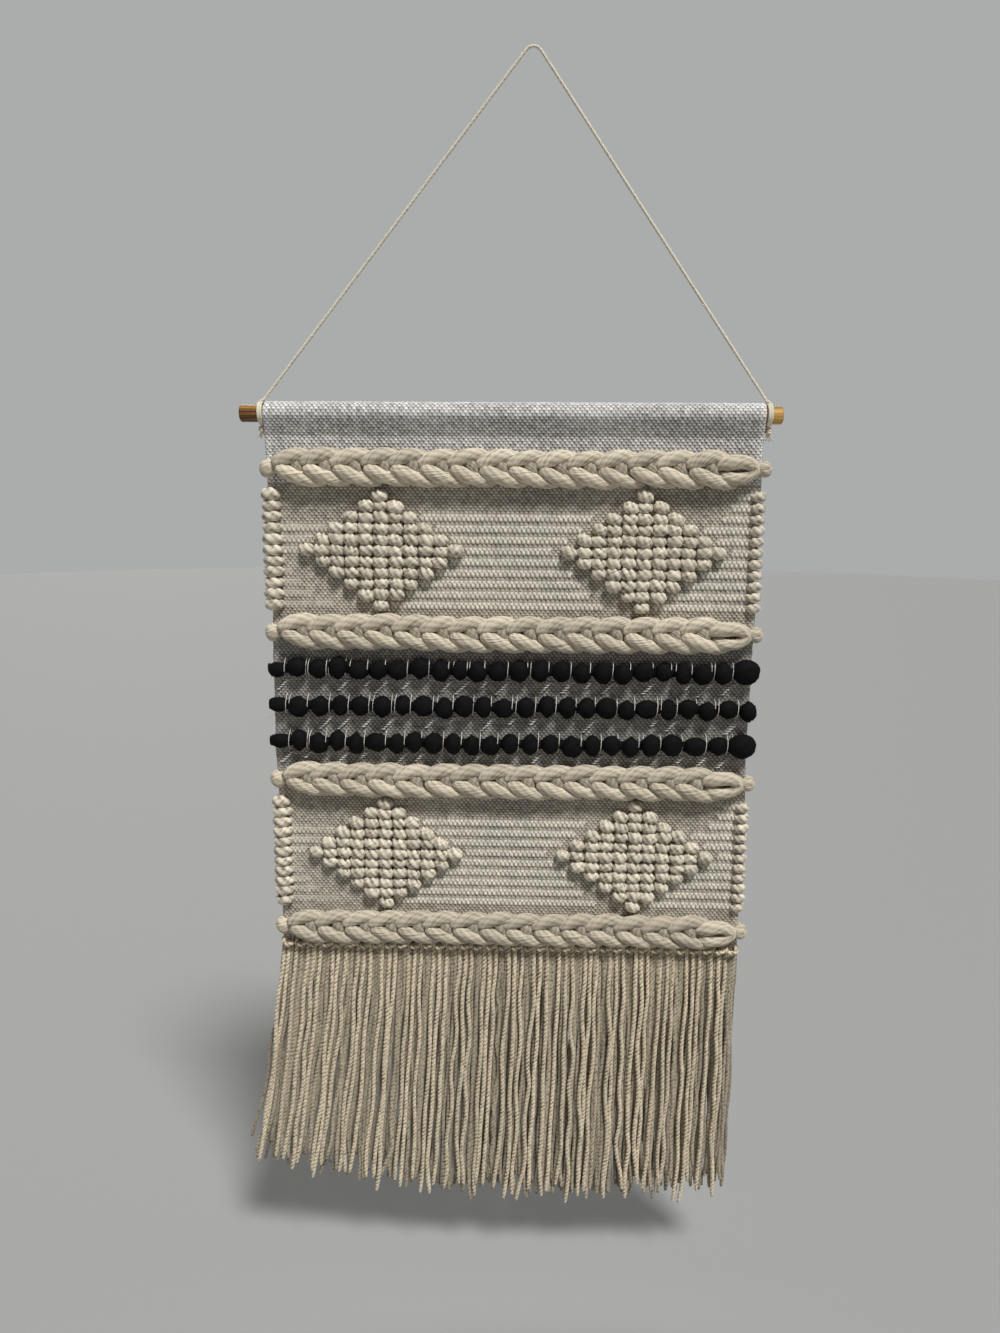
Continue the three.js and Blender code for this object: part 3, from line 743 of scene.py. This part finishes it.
# ---- Warp ties ----
# Light warp threads that hold the roving down: one or two slant over each waist, and between two
# rows most run on through the weave as a slanting string of short dashes.
rng = np.random.default_rng(97)
threads, thread_radii = [], []
thread_rings, tie_radius, dash_radius = 9, 0.38, 0.68
for x, z in ties:
    for aside in (-2.2, 2.2)[:1 + (rng.uniform() < 0.35)]:
        foot, bow = x + aside + rng.uniform(-0.8, 0.8), aside * rng.uniform(0.1, 0.4)
        threads.append(spline([(foot + 0.8, -1.6, z + 11.5), (foot + 0.4 - bow, -8.6, z + 7),
                               (foot - bow, -10.4, z + 1), (foot - 0.4 - bow, -8.4, z - 5),
                               (foot - 0.6, -1.6, z - 9)], thread_rings))
        thread_radii.append([tie_radius])
    if rng.uniform() < 0.35:
        continue
    low, start = z - 12.5, x + rng.uniform(-1, 1)
    for _ in range(rng.integers(3, 7)):
        slip = rng.uniform(-0.3, 0.3)
        threads.append(spline([(start + 1.9 + slip, -0.8, low + 0.3), (start + 1.2, -2.7, low + 0.2),
                               (start - 1.2, -2.7, low - 0.2), (start - 1.9 + slip, -0.8, low - 0.3)],
                              thread_rings))
        thread_radii.append([dash_radius])
        start, low = start - 2.4, low - 2.34
tied = strands("roving_warp_ties", threads, thread_radii, 5, plies=2, turns=np.linspace(0, 1.5, thread_rings),
               crease=0.1, tones=rng.uniform(0.2, 1, len(threads)))
tie_finish = yarn_finish("warp ties", (0.78, 0.75, 0.70), (0.42, 0.39, 0.35), 6, 100, 0.0002)
tied.data.materials.append(tie_finish)
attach(tied, "cloth")
trim.append(tied)

# ---- Fringe ----
# Thirty-six tassels of doubled two-ply yarn, each hitched through the cloth's lower edge with a
# lark's head. The yarn hangs nearly straight, in five layers from front to back, with uneven
# ends, and the left side spreads outwards.
tassels = 36
tassel_pitch = panel_width / tassels
fringe_finish = yarn_finish("two-ply fringe yarn", (0.80, 0.685, 0.495), (0.09, 0.06, 0.028), 8, 60, 0.0005,
                            depth=1.0, coarse=140)
fringe_top = panel_bottom - gap


def fringe_reach(u):
    """The yarn's length at a share u of the cloth's width: 250, 286 and 268 mm at 0, 1/2 and 1."""
    return 250 * (1 - u) * (1 - 2 * u) + 4 * 286 * u * (1 - u) + 268 * u * (2 * u - 1)


rng = np.random.default_rng(101)
layer_depth = {"front": -6.8, "inner": -2.0, "rear": 1.6, "last": 4.8, "core": -0.2}
# Painted light and shade: the front yarns are made lighter and those behind darker, most of all the rear and
# core yarns that fill the gaps, as if shaded by the yarns in front.
layer_light_and_shade = {"front": 0.95, "inner": -0.6, "rear": -1.4, "last": -0.3, "core": -1.1}
layer_stations = {"front": 200, "inner": 160, "rear": 120, "last": 120, "core": 90}
layers = {word: [] for word in layer_depth}
layer_order = ("front", "last", "inner", "rear") * 2 + ("core",) * 3      # in each tassel
head_rings, fringe_lay, fringe_spread = 22, 9.0, -39
fringe_tones_and_shade = {word: [] for word in layers}
heads = []
for n in range(tassels):
    x = left_edge + (n + 0.5) * tassel_pitch
    width, low = rng.uniform(4.6, 5.4), fringe_top + rng.uniform(-1.6, -0.6)
    heads.append(spline([(x - width * 0.8, 0.4, low + 6), (x - width, -4.4, low + 4),
                         (x - width * 0.8, -7.0, low + 1.2), (x - width * 0.35, -7.8, low),
                         (x + width * 0.35, -7.8, low), (x + width * 0.8, -7.0, low + 1.2),
                         (x + width, -4.4, low + 4), (x + width * 0.8, 0.4, low + 6)], head_rings))
    for k, word in enumerate(layer_order):
        word = "inner" if n % 2 and k == 4 else word
        across = (k - 3.5) / 8 if k < 8 else (k - 9) / 3
        root = x + across * tassel_pitch + rng.uniform(-0.6, 0.6)
        u = np.clip((root - left_edge) / panel_width, 0, 1)
        reach = fringe_reach(u) + rng.normal(0, 6) - rng.uniform(0, 14) * (rng.uniform() < 0.3)
        spread = fringe_spread * (1 - u) ** 2 + rng.normal(0, 3.4 if word in ("front", "inner") else 1.6)
        depth = layer_depth[word] + rng.uniform(-1, 1)
        reach -= 14 if word == "core" else 0
        wave, phase, period = rng.uniform(0.3, 1.7), rng.uniform(0, 6.3), rng.uniform(60, 150)
        s = np.linspace(0, 1, 16)
        drift = spread * s ** 1.2 + wave * np.sin(s * reach / period * 6.283 + phase) * np.minimum(1, s * 5)
        kink = rng.uniform(0.2, 0.9)
        drift += (rng.uniform() < 0.25) * rng.uniform(-3, 3) * np.exp(-((s - kink) / 0.06) ** 2)
        deep = depth * np.minimum(1, 0.3 + s * 3) + rng.uniform(0, 1.5) * np.sin(s * 7 + phase)
        curl = rng.normal(0, 2.5) * np.maximum(0, s - 0.88) * 8
        path = spline(np.stack([root + drift + curl, deep, fringe_top + 1 - s * (reach + 1)], axis=1),
                      layer_stations[word])
        layers[word].append(path)
        fringe_tones_and_shade[word].append(rng.uniform(-0.35, 0.35) + layer_light_and_shade[word])
tassel_nodes = [f"tassel_{n + 1:02d}" for n in range(tassels)]
fringe = []
for word, paths in layers.items():
    paths = np.array(paths)
    drops = fringe_top - paths[:, :, 2]
    turns = drops / fringe_lay + rng.uniform(0, 1, (len(paths), 1))
    thick = rng.uniform(2.2, 2.65, (len(paths), 1)) * np.interp(
        np.linspace(0, 1, layer_stations[word]), [0, 0.97, 1], [1, 1, 0.7])
    piece = strands(f"fringe_{word}_yarns", paths, thick, 6, plies=2, turns=turns, crease=0.42,
                    tones=fringe_tones_and_shade[word])
    fringe.append(piece)
larks_heads = strands("fringe_larks_heads", heads, 2.5, 8, plies=2, turns=np.linspace(0, 2.2, head_rings),
                      crease=0.3, rear=(0, 1, 0.3), tones=rng.uniform(0.1, 0.9, tassels))
fringe.append(larks_heads)
for piece in fringe:
    piece.data.materials.append(fringe_finish)
    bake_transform(piece)
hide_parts(*tassel_nodes)

# For each of the four sheets below the pocket: its height, the piece it hangs from and, for the hem, the
# pieces it carries, worked out and left unused.
for n, piece in enumerate(cloth):
    height = joins[n] - joins[n + 1] + (2 * overlap if n < 3 else overlap)
    height * mm
    pocket.name if n == 0 else cloth[n - 1].name
    trim + fringe if n == 3 else []

# ---- Light and floor ----
# A pale studio floor, one soft light from high up at the right and front, a weak one at the
# left, and one from behind, so that the cloth's back shows too.
floor_radius, floor_level = 9, -1.22
floor_knit = bmesh.new()
bmesh.ops.create_circle(floor_knit, cap_ends=True, segments=64, radius=floor_radius)
bmesh.ops.translate(floor_knit, verts=floor_knit.verts, vec=(0, 0, floor_level))
floor_mesh = bpy.data.meshes.new("floor")
floor_knit.to_mesh(floor_mesh)
floor_knit.free()
floor = bpy.data.objects.new("floor", floor_mesh)
bpy.context.scene.collection.objects.link(floor)
pale = Finish("pale floor", {"Roughness": 0.8, "Base Color": (0.28, 0.28, 0.275, 1),
                             "Emission Color": (1, 1, 0.99, 1), "Emission Strength": 0.05})
floor.data.materials.append(pale.material)
key = bpy.data.lights.new("key light", "SUN")
key.energy, key.angle = 3.3, 0.24
rear = bpy.data.lights.new("rear light", "SUN")
rear.energy, rear.angle = 1.0, 0.5
fill = bpy.data.lights.new("fill light", "AREA")
fill.shape, fill.size, fill.energy = "DISK", 1.4, 1.5
lit_point = Vector((0, 0, -0.55))
for light, place in ((key, (0.62, -1.15, 1.55)), (rear, (-0.5, 1.3, 0.4)), (fill, (-0.9, -1.7, -0.1))):
    lamp = bpy.data.objects.new(light.name, light)
    lamp.matrix_world = Matrix.Translation(place) @ (
        lit_point - Vector(place)).to_track_quat("-Z", "Y").to_matrix().to_4x4()
    bpy.context.scene.collection.objects.link(lamp)
world = bpy.data.worlds.new("studio")
world.use_nodes = True
backdrop = world.node_tree.nodes["Background"]
backdrop.inputs[0].default_value = (0.98, 1.0, 1.0, 1)
sight = world.node_tree.nodes.new("ShaderNodeLightPath")
dimmer = world.node_tree.nodes.new("ShaderNodeMapRange")
dimmer.inputs["To Min"].default_value = 0.075          # as light on the object
dimmer.inputs["To Max"].default_value = 0.415          # as the backdrop that is seen
world.node_tree.links.new(sight.outputs["Is Camera Ray"], dimmer.inputs["Value"])
world.node_tree.links.new(dimmer.outputs["Result"], backdrop.inputs[1])
bpy.context.scene.world = world
bpy.context.scene.view_settings.view_transform = "Standard"
